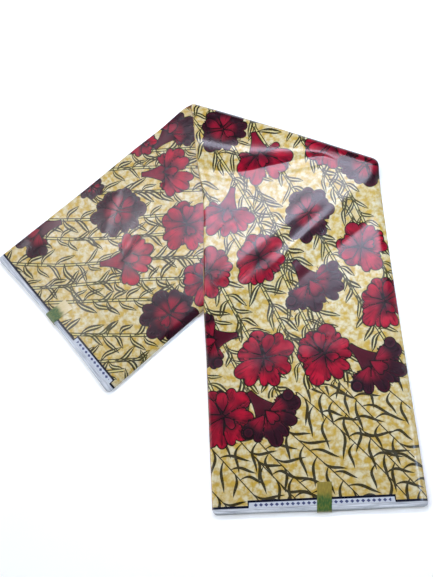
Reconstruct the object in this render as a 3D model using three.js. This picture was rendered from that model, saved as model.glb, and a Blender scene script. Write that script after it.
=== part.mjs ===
// A long cloth, folded lengthwise into a flat pile and then turned once on a slant, so that it lies
// as two legs of an upturned V. The right leg lies on the left one where they cross.
// Millimetres, +Z up. The part rests on z = 0, with its origin under the middle of its box.

import * as THREE from "three";

// ---- Driving sizes ----

const STRIP_WIDTH = 320;
const PILE = 11; // thickness of the folded pile of sixteen plies
const PLY = 1; // wall of the ply that shows
const GAP = 0.3; // clearance between pieces that touch
const RIGHT_LEG = 727; // from the upper fold corner to the end
const LEFT_LEG = 440;
const FOLD_SLANT = THREE.MathUtils.degToRad(26.86); // fall of the fold line across the strip
const FOLD_REACH = 14; // how far the roll stands out from where the legs start
const FOLD_HEART = 1.5; // the same for the tight turn inside the roll
const ROLL_TUCK = 2; // the roll's far corner is drawn in by this much
const TURN = 12; // the long closed side bends over within this width
const LIP = 3; // the open long side's plies are tucked in with this radius
const CORNER = 7; // rounding of the end corners, seen from above
const BAND = { width: 22, wall: 0.8, drop: 0.2 };
// Where each band's middle lies across the strip, how it slants and how far it reaches over the face.
const BAND_PLACES = {
  left: { middle: 153, slant: 0.05, reach: 40 },
  right: { middle: 168, slant: 0.1, reach: 43 },
};

// Distance from the fold corner down the leg, and how far the edges stray from a straight strip.
const RIGHT_LEG_EDGES = {
  open: [
    { down: 0, stray: -1.5 },
    { down: 20, stray: 1 },
    { down: 44, stray: 4 },
    { down: 132, stray: 6 },
    { down: 185, stray: 11.5 },
    { down: 298, stray: 7.5 },
    { down: 418, stray: 2.5 },
    { down: 727, stray: -2 },
  ],
  closed: [
    { down: 162, stray: -3.5 },
    { down: 190, stray: -6 },
    { down: 241, stray: -6.5 },
    { down: 389, stray: -5 },
    { down: 529, stray: -2.5 },
    { down: 727, stray: 1.5 },
  ],
};
const LEFT_LEG_EDGES = {
  open: [
    { down: 0, stray: -7 },
    { down: 35, stray: -5 },
    { down: 70, stray: -3 },
    { down: 130, stray: -3.8 },
    { down: 250, stray: -2.3 },
    { down: 440, stray: -3.4 },
  ],
  closed: [
    { down: -162, stray: -1 },
    { down: 235, stray: -1.5 },
    { down: 440, stray: 3 },
  ],
};
// The print stops on a straight line at each end, this far down the leg at its open and closed side.
const PRINT_STOPS = {
  left: { open: 431.5, closed: 431.5 },
  right: { open: 721.7, closed: 730.7 },
};
// Beyond it is the plain woven edge. Its end runs a little off square, and the left one is drawn in
// where its band holds it.
const END_SPLAY = [
  { across: 0, left: 3, right: 3 },
  { across: 80, left: 0, right: 5 },
  { across: 150, left: -1.5, right: 7.5 },
  { across: 235, left: 0, right: 10 },
  { across: 320, left: 3.5, right: 12 },
];

// The puffed ridge beside the fold: where its crest and the sharp trough below it lie, and its rise.
const RIDGE = [
  { across: 0, crest: 82, trough: 136, rise: 14 },
  { across: 80, crest: 110, trough: 153, rise: 10.5 },
  { across: 140, crest: 119, trough: 148, rise: 6.5 },
  { across: 220, crest: 134, trough: 143, rise: 1.6 },
  { across: 260, crest: 156, trough: 165, rise: 0.3 },
  { across: 320, crest: 187, trough: 197, rise: 0 },
];
const TROUGH_FOOT = 6; // width of the narrow foot below the trough
const FOLD_BULGE = [
  { across: 0, out: 0 },
  { across: 60, out: 2 },
  { across: 160, out: 3.5 },
  { across: 320, out: 2 },
];
const RAMP = { start: 8, length: 62 }; // the right leg sags to the floor past the left leg's edge

// Soft folds pressed into the upper faces: the two ends of each, its half width and its height.
const RIGHT_LEG_FOLDS = [
  { x0: 20, y0: -352, x1: 205, y1: -216, half: 20, height: 1.6 },
  { x0: 60, y0: -362, x1: 230, y1: -238, half: 16, height: -1.2 },
  { x0: 296, y0: -190, x1: 300, y1: -420, half: 14, height: 0.9 },
  { x0: 40, y0: -520, x1: 250, y1: -478, half: 26, height: 0.8 },
];
const LEFT_LEG_FOLDS = [
  { x0: -120, y0: -120, x1: -206, y1: -330, half: 26, height: 1.1 },
  { x0: -292, y0: -232, x1: -316, y1: -276, half: 16, height: -0.7 },
];

// Staggered ply ends at the selvedges: height share in the pile and how far each stands out.
const PLY_ENDS = [
  { share: 1, out: -1.2 },
  { share: 0.95, out: 0 },
  { share: 0.8, out: -0.7 },
  { share: 0.7, out: 0.9 },
  { share: 0.55, out: -0.4 },
  { share: 0.42, out: 1.4 },
  { share: 0.28, out: -0.2 },
  { share: 0.15, out: 0.6 },
  { share: 0, out: -1 },
];

// ---- Reading tables and blending ----

const clamp = THREE.MathUtils.clamp;
const mix = THREE.MathUtils.lerp;
const ease = (t) => THREE.MathUtils.smoothstep(t, 0, 1);

// A smooth curve through a table's rows, each slope taken from the rows on both sides.
function readTable(rows, key, column, at) {
  const last = rows.length - 1;
  const x = clamp(at, rows[0][key], rows[last][key]);
  let i = 0;
  while (i < last - 1 && x > rows[i + 1][key]) i += 1;
  const slope = (j) => {
    const low = rows[Math.max(j - 1, 0)];
    const high = rows[Math.min(j + 1, last)];
    return (high[column] - low[column]) / (high[key] - low[key]);
  };
  const span = rows[i + 1][key] - rows[i][key];
  const t = (x - rows[i][key]) / span;
  const start = rows[i][column] * (1 + 2 * t) * (1 - t) ** 2 + span * slope(i) * t * (1 - t) ** 2;
  const end = rows[i + 1][column] * t * t * (3 - 2 * t) + span * slope(i + 1) * t * t * (t - 1);
  return start + end;
}

// ---- The plan: a strip point (across, past the fold along the strip) laid out on the floor ----

const COS = Math.cos(FOLD_SLANT);
const SIN = Math.sin(FOLD_SLANT);

// s runs along the fold line from the upper corner, and eta squarely away from it under the legs.
const floorPoint = (s, eta) => [s * COS - eta * SIN, -s * SIN - eta * COS];

const foldLineDown = (across) => across * Math.tan(FOLD_SLANT);

const LEG_START = FOLD_REACH / COS; // along the strip, from the fold line to where a leg starts

function strayedAcross(edges, across, down) {
  const open = readTable(edges.open, "down", "stray", down);
  const closed = readTable(edges.closed, "down", "stray", down);
  return across + mix(open, closed, clamp(across / STRIP_WIDTH, 0, 1));
}

// Where the legs start and end, down each of them from the upper fold corner.
const rightStart = (across) => foldLineDown(across) + LEG_START;
const rightEnd = (across) => RIGHT_LEG + readTable(END_SPLAY, "across", "right", across);
const leftStart = (across) => LEG_START - foldLineDown(across);
const leftEnd = (across) => LEFT_LEG + readTable(END_SPLAY, "across", "left", across);
const printStop = ({ open, closed }) => (across) => mix(open, closed, across / STRIP_WIDTH);
const rightPrintStop = printStop(PRINT_STOPS.right);
const leftPrintStop = printStop(PRINT_STOPS.left);

// ---- Heights of the two legs ----

// Distance past the left leg's lower edge, as seen from above; negative over that leg.
function pastLowerEdge(x, y) {
  const far = floorPoint(STRIP_WIDTH / COS, 0);
  const along = [Math.cos(Math.PI / 2 - 2 * FOLD_SLANT), Math.sin(Math.PI / 2 - 2 * FOLD_SLANT)];
  return (x - far[0]) * along[1] - (y - far[1]) * along[0];
}

function softFolds(folds, x, y) {
  let lift = 0;
  for (const f of folds) {
    const length = Math.hypot(f.x1 - f.x0, f.y1 - f.y0);
    const dx = (f.x1 - f.x0) / length;
    const dy = (f.y1 - f.y0) / length;
    const along = ((x - f.x0) * dx + (y - f.y0) * dy) / length;
    const aside = ((x - f.x0) * dy - (y - f.y0) * dx) / f.half;
    const fade = ease(clamp(along + 0.2, 0, 0.4) / 0.4) * ease(clamp(1.2 - along, 0, 0.4) / 0.4);
    lift += f.height * fade * Math.exp(-aside * aside);
  }
  return lift;
}

function ridgeLift(x, y) {
  const crest = readTable(RIDGE, "across", "crest", x);
  const trough = readTable(RIDGE, "across", "trough", x);
  const rise = Math.max(readTable(RIDGE, "across", "rise", x), 0);
  const down = -y;
  if (down > crest) {
    const t = clamp((down - crest) / (trough - crest), 0, 1);
    return rise * (1 - t ** 1.8);
  }
  const back = crest - foldLineDown(x);
  const t = clamp((crest - down) / back, 0, 1);
  return rise * mix(1, 0.45, ease(t));
}

function overFloor(x, y) {
  const past = pastLowerEdge(x, y) - RAMP.start;
  return (PILE + GAP) * (1 - ease(clamp(past / RAMP.length, 0, 1)));
}

const overTop = (x, y) => overFloor(x, y) + PILE + ridgeLift(x, y) + softFolds(RIGHT_LEG_FOLDS, x, y);

const underTop = (x, y) => PILE + softFolds(LEFT_LEG_FOLDS, x, y);

// ---- Points of the pile ----
// A point is given by its place across the strip, how far down its leg it lies, its level from 0 on
// the inner side of the fold to 1 on the outer side, and out, which moves it outward in millimetres.

function rightLegPoint(across, down, level, out) {
  const x = strayedAcross(RIGHT_LEG_EDGES, across, down);
  const y = foldLineDown(across) - down - foldLineDown(x);
  return [x, y, mix(overFloor(x, y), overTop(x, y), level) + out];
}

function leftLegPoint(across, down, level, out) {
  const a = strayedAcross(LEFT_LEG_EDGES, across, down);
  const past = (down + foldLineDown(across)) * COS;
  const [x, y] = floorPoint((a - SIN * past) / COS, past);
  return [x, y, mix(underTop(x, y), 0, level) - out];
}

// Round the fold the levels follow half ovals about a line between the two legs.
function rollPoint(across, angle, level, out) {
  const upperAcross = strayedAcross(RIGHT_LEG_EDGES, across, rightStart(across));
  const lowerAcross = strayedAcross(LEFT_LEG_EDGES, across, leftStart(across));
  const drawnIn = ROLL_TUCK * (across / STRIP_WIDTH) * Math.cos(angle);
  const a = mix(lowerAcross, upperAcross, 0.5 + 0.5 * Math.sin(angle)) - drawnIn;
  const s = (a + SIN * FOLD_REACH * Math.sin(angle)) / COS;
  const bulge = readTable(FOLD_BULGE, "across", "out", across) * Math.cos(angle);
  const reach = mix(FOLD_HEART, FOLD_REACH + bulge, level) + out;
  const [x, y] = floorPoint(s, FOLD_REACH - reach * Math.cos(angle));
  const middle = PILE + GAP / 2;
  const [topX, topY] = floorPoint((upperAcross + SIN * FOLD_REACH) / COS, FOLD_REACH);
  const upper = mix(overFloor(topX, topY), overTop(topX, topY), level) + out - middle;
  const lower = middle - (mix(PILE, 0, level) - out);
  return [x, y, middle + Math.sin(angle) * (angle > 0 ? upper : lower)];
}

// ---- Stations: lines across the strip, in order from the left end, round the fold, to the right ----

const rightStation = (downAt) => (across, level, out) => rightLegPoint(across, downAt(across), level, out);
const leftStation = (downAt) => (across, level, out) => leftLegPoint(across, downAt(across), level, out);
const rollStation = (angle) => (across, level, out) => rollPoint(across, angle, level, out);

const LEFT_EDGE_RISE = 1 / Math.tan(2 * FOLD_SLANT); // rise of the left leg's edge under the right leg
const troughDown = (a) => readTable(RIDGE, "across", "trough", a);

// A line across the right leg alongside the left leg's edge, and at least clear below the trough.
const besideLeftEdge = (down, clear) => (a) => Math.max(down - a * LEFT_EDGE_RISE, troughDown(a) + clear);

// Lines down the right leg that its shape turns on, nearest the fold first, each with the shares
// of the way to the next line at which more stations lie.
const RIGHT_LINES = [
  { line: rightStart, shares: [0, 0.5] },
  { line: (a) => readTable(RIDGE, "across", "crest", a), shares: [0, 0.5, 0.8] },
  { line: troughDown, shares: [0] },
  { line: (a) => troughDown(a) + TROUGH_FOOT, shares: [0, 0.5] },
  { line: besideLeftEdge(375, 16), shares: [0, 0.35, 0.7] },
  { line: besideLeftEdge(484, 60), shares: [0, 0.33, 0.67] },
  { line: rightPrintStop, shares: [0] },
];
const LEFT_SHARES = [1, 0.8, 0.6, 0.4, 0.2, 0];
const ROLL_ANGLES = [-90, -66, -44, -22, 0, 22, 44, 66, 90].map(THREE.MathUtils.degToRad);

// The seam is the gap left beside the fold's roll.
function rightStations(seam) {
  return RIGHT_LINES.flatMap(({ line, shares }, i) => shares.map((share) => rightStation((a) => {
    const next = RIGHT_LINES[Math.min(i + 1, RIGHT_LINES.length - 1)].line;
    const down = mix(line(a), next(a), share);
    return i === 0 && share === 0 ? down + seam : down;
  })));
}

function leftStations(seam) {
  return LEFT_SHARES.map((share) => leftStation((a) => mix(leftStart(a) + seam, leftPrintStop(a), share)));
}

// ---- Closed sections, as rows of across, level and out ----

const FACE_ACROSS = [10, 35, 70, 105, 140, 175, 205, 232, 256, 276, 293, STRIP_WIDTH - TURN];
const TURN_ANGLES = [60, 36, 12, -12, -36, -60].map(THREE.MathUtils.degToRad);
const LIP_ANGLES = [0, 45, 90].map(THREE.MathUtils.degToRad);

// The pile's skin, set in from the outside by depth: lip, face, closed side, face and lip.
function skinPath(depth) {
  const lip = (level, side) => LIP_ANGLES.map((t) => ({
    across: LIP - (LIP - depth) * Math.cos(t),
    level,
    out: side * (LIP - (LIP - depth) * Math.sin(t)),
  }));
  const face = FACE_ACROSS.map((across) => ({ across, level: 1, out: -depth }));
  const turn = TURN_ANGLES.map((t) => ({
    across: STRIP_WIDTH - TURN + (TURN - depth) * Math.cos(t),
    level: 0.5 + 0.5 * Math.sin(t),
    out: -depth * Math.sin(t),
  }));
  const under = FACE_ACROSS.map((across) => ({ across, level: 0, out: depth })).reverse();
  return [...lip(1, -1), ...face, ...turn, ...under, ...lip(0, 1).reverse()];
}

const plySection = [...skinPath(0), ...skinPath(PLY).reverse()];

// The hidden plies fill the skin, and their folds stand out as lobes along the open side.
function layersSection() {
  const steps = 6;
  const tucked = LIP + 0.6;
  const lobes = [];
  for (let i = 0; i <= steps; i += 1) {
    const share = i / steps;
    const across = i % 2 === 1 ? 0.5 + (i % 4) / 2 : LIP;
    lobes.push({ across, level: share, out: tucked * (1 - 2 * share) });
  }
  return [...skinPath(PLY + GAP), ...lobes];
}

// ---- Solids ----

function signedVolume(points, index) {
  let total = 0;
  for (let i = 0; i < index.length; i += 3) {
    const [a, b, c] = [0, 1, 2].map((k) => new THREE.Vector3(...points[index[i + k]]));
    total += a.dot(b.cross(c)) / 6;
  }
  return total;
}

// Which diagonal parts a face is told from its corners alone, so that faces a gap apart agree.
function slantedLength([ax, ay, az], [bx, by, bz]) {
  return Math.hypot(ax - bx + 0.3 * (ay - by), ay - by, az - bz);
}

// A closed body through rings of points of equal length. The outline is their section in the flat,
// from which both ends are cut into triangles.
function closedBody(name, rings, outline, material) {
  const count = outline.length;
  const points = rings.flat();
  const index = [];
  for (let base = 0; base < points.length - count; base += count) {
    for (let i = 0; i < count; i += 1) {
      const [a, b] = [base + i, base + ((i + 1) % count)];
      const [c, d] = [b + count, a + count];
      const acrossFirst = slantedLength(points[a], points[c]) < slantedLength(points[b], points[d]);
      index.push(...(acrossFirst ? [a, b, c, a, c, d] : [a, b, d, b, c, d]));
    }
  }
  const flat = outline.map(([u, v]) => new THREE.Vector2(u, v));
  const windsLeft = THREE.ShapeUtils.area(flat) > 0;
  const last = points.length - count;
  for (const [i, j, k] of THREE.ShapeUtils.triangulateShape(flat, [])) {
    const agrees = THREE.ShapeUtils.area([flat[i], flat[j], flat[k]]) > 0 === windsLeft;
    const [p, q] = agrees ? [j, k] : [k, j];
    index.push(i, q, p, last + i, last + p, last + q);
  }
  if (signedVolume(points, index) < 0) index.reverse();
  const geometry = new THREE.BufferGeometry();
  geometry.setAttribute("position", new THREE.Float32BufferAttribute(points.flat(), 3));
  geometry.setIndex(index);
  geometry.computeVertexNormals();
  const mesh = new THREE.Mesh(geometry, material);
  mesh.name = name;
  return mesh;
}

// A stretch of the strip: one section carried through its stations.
function stretch(name, stations, section, material) {
  const rings = stations.map((station) => section.map((p) => station(p.across, p.level, p.out)));
  return closedBody(name, rings, section.map((p) => [p.across, p.level * PILE + p.out]), material);
}

// ---- The woven edges at both ends: staggered plies with rounded corners ----

const CORNER_ACROSS = [0, 1, 3, 6];
const FAR_CORNER_ACROSS = CORNER_ACROSS.map((a) => STRIP_WIDTH - a).reverse();
const EDGE_ACROSS = [...CORNER_ACROSS, ...FACE_ACROSS, ...FAR_CORNER_ACROSS];

// Each row of the section lies this far inside the end line; the two without it lie at the print.
const SHOULDER = { upper: 3, lower: 4 }; // where the flat faces of the woven edge end
const PLY_END_INSET = 1.6;
const SHARPEST_TURN = 0.985; // share of the closed side's width at which the plies' edge is cut off

function selvedgePile(name, end, stop, legPoint, material) {
  const section = [{ share: 1 }, { share: 1, inside: SHOULDER.upper }];
  section.push(...PLY_ENDS.map(({ share, out }) => ({ share, inside: PLY_END_INSET - out })));
  section.push({ share: 0, inside: SHOULDER.lower }, { share: 0 });
  const rings = EDGE_ACROSS.map((across) => {
    const width = end(across) - stop(across) - GAP;
    const toSide = Math.min(across, STRIP_WIDTH - across);
    const round = 1 - Math.sqrt(1 - (1 - Math.min(toSide / CORNER, 1)) ** 2);
    const turned = clamp((across - (STRIP_WIDTH - TURN)) / TURN, 0, SHARPEST_TURN);
    const opened = 1 - 0.3 * clamp(1 - across / LIP, 0, 1);
    const stand = Math.sqrt(1 - turned ** 2) * opened;
    return section.map(({ share, inside = width }) => {
      const kept = mix(inside, width, 0.75 * round);
      return legPoint(across, end(across) - kept, 0.5 + (share - 0.5) * stand, 0);
    });
  });
  const outline = section.map(({ share, inside = LIP + CORNER }) => [-inside, share * PILE]);
  return closedBody(name, rings, outline, material);
}

// ---- A paper band laid over an end ----

// Rows run from inside the leg over its end and down it; face is 1 on the upper side of the leg.
function bandPath(lift, reach) {
  return [
    { inside: reach, face: 1, lift },
    { inside: reach / 2, face: 1, lift },
    { inside: 2.5, face: 1, lift },
    { inside: 0.9 - lift / 2, face: 0.98, lift: lift / 2 },
    { inside: -BAND.drop - lift, face: 0.82, lift: 0 },
    { inside: -BAND.drop - lift, face: 0.06, lift: 0 },
  ];
}

function endBand(name, { middle, slant, reach }, end, legPoint, upIsOut, material) {
  const section = [...bandPath(GAP + BAND.wall, reach), ...bandPath(GAP, reach).reverse()];
  const rings = [-0.5, -0.17, 0.17, 0.5].map((share) => section.map(({ inside, face, lift }) => {
    const across = middle + share * BAND.width + slant * inside;
    const level = upIsOut ? face : 1 - face;
    return legPoint(across, end(across) - inside, level, upIsOut ? lift : -lift);
  }));
  const outline = section.map(({ inside, face, lift }) => [-inside, face * PILE + lift]);
  return closedBody(name, rings, outline, material);
}

// ---- Finishes ----

const waxedPrint = () => new THREE.MeshStandardMaterial({ color: 0xc39a45, roughness: 0.38, metalness: 0 });
const innerPlies = new THREE.MeshStandardMaterial({ color: 0x7a2430, roughness: 0.5, metalness: 0 });
const wovenEdge = () => new THREE.MeshStandardMaterial({ color: 0xdfe3ea, roughness: 0.6, metalness: 0 });
const olivePaper = () => new THREE.MeshStandardMaterial({ color: 0x6f7a2c, roughness: 0.5, metalness: 0 });

// ---- The part ----

const roll = ROLL_ANGLES.map(rollStation);
const throughFold = [...leftStations(0), ...roll.slice(1, -1), ...rightStations(0)];

const cloth = new THREE.Group();
cloth.add(
  stretch("left_leg_ply", leftStations(GAP), plySection, waxedPrint()),
  stretch("fold_turn_ply", roll, plySection, waxedPrint()),
  stretch("right_leg_ply", rightStations(GAP), plySection, waxedPrint()),
  stretch("hidden_layers", throughFold, layersSection(), innerPlies),
  selvedgePile("left_selvedges", leftEnd, leftPrintStop, leftLegPoint, wovenEdge()),
  selvedgePile("right_selvedges", rightEnd, rightPrintStop, rightLegPoint, wovenEdge()),
  endBand("left_end_band", BAND_PLACES.left, leftEnd, leftLegPoint, false, olivePaper()),
  endBand("right_end_band", BAND_PLACES.right, rightEnd, rightLegPoint, true, olivePaper()),
);

const box = new THREE.Box3().setFromObject(cloth);
const centre = box.getCenter(new THREE.Vector3());
cloth.position.set(-centre.x, -centre.y, -box.min.z);

const part = new THREE.Group();
part.add(cloth);
export default part;
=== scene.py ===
"""A length of glossy wax print cloth, folded lengthwise into a flat pile and turned once on a slant.

Sizes and places are in millimetres until a mesh is made. The fold's upper corner is the zero of the
plan: the right leg runs towards -Y from it, and the left leg slants off under it.
"""
import math

import bpy
import numpy as np
from mathutils import Matrix, Vector


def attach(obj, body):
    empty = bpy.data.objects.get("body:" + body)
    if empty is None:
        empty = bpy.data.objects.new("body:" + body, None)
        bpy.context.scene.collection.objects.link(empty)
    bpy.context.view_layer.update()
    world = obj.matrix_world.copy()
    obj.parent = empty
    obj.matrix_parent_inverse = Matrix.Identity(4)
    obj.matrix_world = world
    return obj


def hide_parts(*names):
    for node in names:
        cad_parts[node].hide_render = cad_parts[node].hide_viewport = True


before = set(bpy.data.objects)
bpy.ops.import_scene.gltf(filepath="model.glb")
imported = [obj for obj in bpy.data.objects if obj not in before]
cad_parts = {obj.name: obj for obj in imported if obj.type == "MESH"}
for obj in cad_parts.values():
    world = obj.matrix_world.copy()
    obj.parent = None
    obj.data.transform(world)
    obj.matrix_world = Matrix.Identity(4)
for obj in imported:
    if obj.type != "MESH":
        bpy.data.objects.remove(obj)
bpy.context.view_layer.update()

MM = 0.001
FOLD_CORNER = np.array([17.875, 369.067, 0.0])  # its place in the shared frame

# ---- Sizes of the folded strip ----

STRIP_WIDTH = 320
PLIES = 16
PILE = 11  # a leg's thickness
PLY = 1  # the wall of the outermost ply
GAP = 0.3  # between one piece and the next
FOLD_SLANT = math.radians(26.86)
FOLD_REACH = 14  # how far the roll reaches out, on its outer side
FOLD_HEART = 1.5  # and on its inner side
ROLL_TUCK = 2  # how far the roll draws in at the strip's closed side
TURN = 12  # how far the closed side's half oval reaches out
LIP = 3  # radius of the two lips at the open side
CORNER = 7  # how far in from both sides the selvedges' corners are rounded
RIGHT_LEG = 727
LEFT_LEG = 440
BAND_WIDTH = 22
BAND_WALL = 0.8
BAND_DROP = 0.2  # how much farther a band stands off the leg's end than off its face

# Rows of (down the leg, how far the edge strays from a straight strip).
RIGHT_OPEN_EDGE = [(0, -1.5), (20, 1), (44, 4), (132, 6), (185, 11.5), (298, 7.5), (418, 2.5), (727, -2)]
RIGHT_CLOSED_EDGE = [(162, -3.5), (190, -6), (241, -6.5), (389, -5), (529, -2.5), (727, 1.5)]
LEFT_OPEN_EDGE = [(0, -7), (35, -5), (70, -3), (130, -3.8), (250, -2.3), (440, -3.4)]
LEFT_CLOSED_EDGE = [(-162, -1), (235, -1.5), (440, 3)]
# Where the print stops, down the leg at its open and closed side.
LEFT_STOP = (431.5, 431.5)
RIGHT_STOP = (721.7, 730.7)
# Rows of (across the strip, how far the end stands beyond the leg's length).
LEFT_SPLAY = [(0, 3), (80, 0), (150, -1.5), (235, 0), (320, 3.5)]
RIGHT_SPLAY = [(0, 3), (80, 5), (150, 7.5), (235, 10), (320, 12)]
# The puffed ridge beside the fold, by rows of (across, value).
RIDGE_CREST = [(0, 82), (80, 110), (140, 119), (220, 134), (260, 156), (320, 187)]
RIDGE_TROUGH = [(0, 136), (80, 153), (140, 148), (220, 143), (260, 165), (320, 197)]
RIDGE_RISE = [(0, 14), (80, 10.5), (140, 6.5), (220, 1.6), (260, 0.3), (320, 0)]
RIDGE_FRONT = 1.8  # power by which it drops into its trough
RIDGE_BACK = 0.45  # share of its height that is left at the fold
# How far the roll bulges past its reach, by the same rows.
FOLD_BULGE = [(0, 0), (60, 2), (160, 3.5), (320, 2)]
# The right leg comes down to the floor beside the left one.
RAMP_START = 8
RAMP_LENGTH = 62
# Folds of the upper faces, with the finer creases last: (x0, y0, x1, y1, half width, height).
RIGHT_FOLDS = [
    (20, -352, 205, -216, 20, 1.6),
    (60, -362, 230, -238, 16, -1.2),
    (296, -190, 300, -420, 14, 0.9),
    (40, -520, 250, -478, 26, 0.8),
    (4, -150, 60, -172, 3.5, 0.5),
    (150, -163, 215, -158, 4, -0.6),
    (36, -262, 120, -214, 7, 0.45),
    (120, -338, 205, -262, 6, 0.5),
    (64, -404, 138, -368, 9, -0.4),
    (216, -300, 286, -262, 8, 0.4),
    (176, -590, 244, -562, 14, 0.4),
]
LEFT_FOLDS = [
    (-120, -120, -206, -330, 26, 1.1),
    (-292, -232, -316, -276, 16, -0.7),
    (-60, -170, -150, -300, 9, 0.4),
    (-196, -176, -262, -330, 12, -0.45),
    (-150, -350, -120, -430, 10, 0.35),
]
FOLD_FADE = 0.4  # share of its length over which a fold fades at each end

# ---- Tables and blends ----


def mix(low, high, share):
    return low + (high - low) * share


def ease(x):
    """3x^2 - 2x^3, held at 0 and 1 outside."""
    x = np.clip(x, 0, 1)
    return x * x * (3 - 2 * x)


def read_table(rows, at):
    """A cubic through the rows (key, value), with each slope taken from the rows on both sides."""
    keys, values = np.array(rows, float).T
    last = len(keys) - 1
    before = np.maximum(np.arange(last + 1) - 1, 0)
    after = np.minimum(np.arange(last + 1) + 1, last)
    slopes = (values[after] - values[before]) / (keys[after] - keys[before])
    at = np.clip(at, keys[0], keys[-1])
    i = np.clip(np.searchsorted(keys, at, side="left") - 1, 0, last - 1)
    span = keys[i + 1] - keys[i]
    t = (at - keys[i]) / span
    start = values[i] * (1 + 2 * t) * (1 - t) ** 2 + span * slopes[i] * t * (1 - t) ** 2
    end = values[i + 1] * t * t * (3 - 2 * t) + span * slopes[i + 1] * t * t * (t - 1)
    return start + end


# ---- The plan ----

COS, SIN, TAN = math.cos(FOLD_SLANT), math.sin(FOLD_SLANT), math.tan(FOLD_SLANT)
LEG_START = FOLD_REACH / COS


def floor_point(along, away):
    """A point on the floor from its place along the fold line and squarely away from it."""
    return along * COS - away * SIN, -along * SIN - away * COS


def strayed(open_edge, closed_edge, across, down):
    """The place across the strip, moved by its two edges' straying in shares of the width."""
    share = np.clip(across / STRIP_WIDTH, 0, 1)
    return across + mix(read_table(open_edge, down), read_table(closed_edge, down), share)


def right_start(across):
    return across * TAN + LEG_START


def left_start(across):
    return LEG_START - across * TAN


def right_stop(across):
    return mix(*RIGHT_STOP, across / STRIP_WIDTH)


def left_stop(across):
    return mix(*LEFT_STOP, across / STRIP_WIDTH)


def right_end(across):
    return RIGHT_LEG + read_table(RIGHT_SPLAY, across)


def left_end(across):
    return LEFT_LEG + read_table(LEFT_SPLAY, across)


# ---- Heights ----


def soft_folds(rows, x, y):
    """Sum of bell-shaped folds: height times a bell across the line, faded in and out at its ends."""
    lift = np.zeros(np.broadcast(x, y).shape)
    for x0, y0, x1, y1, half, height in rows:
        length = math.hypot(x1 - x0, y1 - y0)
        dx, dy = (x1 - x0) / length, (y1 - y0) / length
        along = ((x - x0) * dx + (y - y0) * dy) / length
        aside = ((x - x0) * dy - (y - y0) * dx) / half
        fade_in = ease((along + FOLD_FADE / 2) / FOLD_FADE)
        fade_out = ease((1 + FOLD_FADE / 2 - along) / FOLD_FADE)
        lift += height * fade_in * fade_out * np.exp(-aside * aside)
    return lift


def ridge_lift(x, y):
    """The ridge falls away softly towards the fold and drops ever more steeply into its trough."""
    crest, trough = read_table(RIDGE_CREST, x), read_table(RIDGE_TROUGH, x)
    rise = np.maximum(read_table(RIDGE_RISE, x), 0)
    down = -y
    front = 1 - np.clip((down - crest) / (trough - crest), 0, 1) ** RIDGE_FRONT
    back = mix(1, RIDGE_BACK, ease((crest - down) / (crest - x * TAN)))
    return rise * np.where(down > crest, front, back)


def over_floor(x, y):
    """The underside of the right leg: on the left leg, then easing down to the floor past its edge."""
    far_x, far_y = floor_point(STRIP_WIDTH / COS, 0)
    slope = math.pi / 2 - 2 * FOLD_SLANT
    past = (x - far_x) * math.sin(slope) - (y - far_y) * math.cos(slope)
    return (PILE + GAP) * (1 - ease((past - RAMP_START) / RAMP_LENGTH))


def over_top(x, y):
    return over_floor(x, y) + PILE + ridge_lift(x, y) + soft_folds(RIGHT_FOLDS, x, y)


def under_top(x, y):
    return PILE + soft_folds(LEFT_FOLDS, x, y)


# ---- Points of the pile: level is 0 on the inner side of the fold and 1 on the outer ----


def right_point(across, down, level, out):
    """The right leg: level runs from its underside up to its top, and out lifts a point."""
    x = strayed(RIGHT_OPEN_EDGE, RIGHT_CLOSED_EDGE, across, down)
    y = across * TAN - down - x * TAN
    return np.stack([x, y, mix(over_floor(x, y), over_top(x, y), level) + out], -1)


def left_point(across, down, level, out):
    """The left leg lies the other way up: level runs from its top down to the floor."""
    a = strayed(LEFT_OPEN_EDGE, LEFT_CLOSED_EDGE, across, down)
    past = (down + across * TAN) * COS
    x, y = floor_point((a - SIN * past) / COS, past)
    return np.stack([x, y, mix(under_top(x, y), 0, level) - out], -1)


def roll_point(across, angle, level, out):
    """Half ovals round a line between the legs, from -90 degrees at the left leg to 90 at the right."""
    upper = strayed(RIGHT_OPEN_EDGE, RIGHT_CLOSED_EDGE, across, right_start(across))
    lower = strayed(LEFT_OPEN_EDGE, LEFT_CLOSED_EDGE, across, left_start(across))
    sin, cos = np.sin(angle), np.cos(angle)
    a = mix(lower, upper, 0.5 + 0.5 * sin) - ROLL_TUCK * (across / STRIP_WIDTH) * cos
    reach = mix(FOLD_HEART, FOLD_REACH + read_table(FOLD_BULGE, across) * cos, level) + out
    x, y = floor_point((a + SIN * FOLD_REACH * sin) / COS, FOLD_REACH - reach * cos)
    top_x, top_y = floor_point((upper + SIN * FOLD_REACH) / COS, FOLD_REACH)
    middle = PILE + GAP / 2
    above = mix(over_floor(top_x, top_y), over_top(top_x, top_y), level) + out - middle
    below = middle - (mix(PILE, 0, level) - out)
    return np.stack([x, y, middle + sin * np.where(sin > 0, above, below)], -1)


# ---- Rows along the strip and the section round it ----

LEFT_ROWS, ROLL_ROWS, RIGHT_ROWS = 256, 28, 340
FOLD_FIRST, FOLD_LAST = LEFT_ROWS, LEFT_ROWS + ROLL_ROWS
ALL_ROWS = LEFT_ROWS + ROLL_ROWS + RIGHT_ROWS
NO_STOP = 900  # the way to the print's stop, where it is far off


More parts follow.
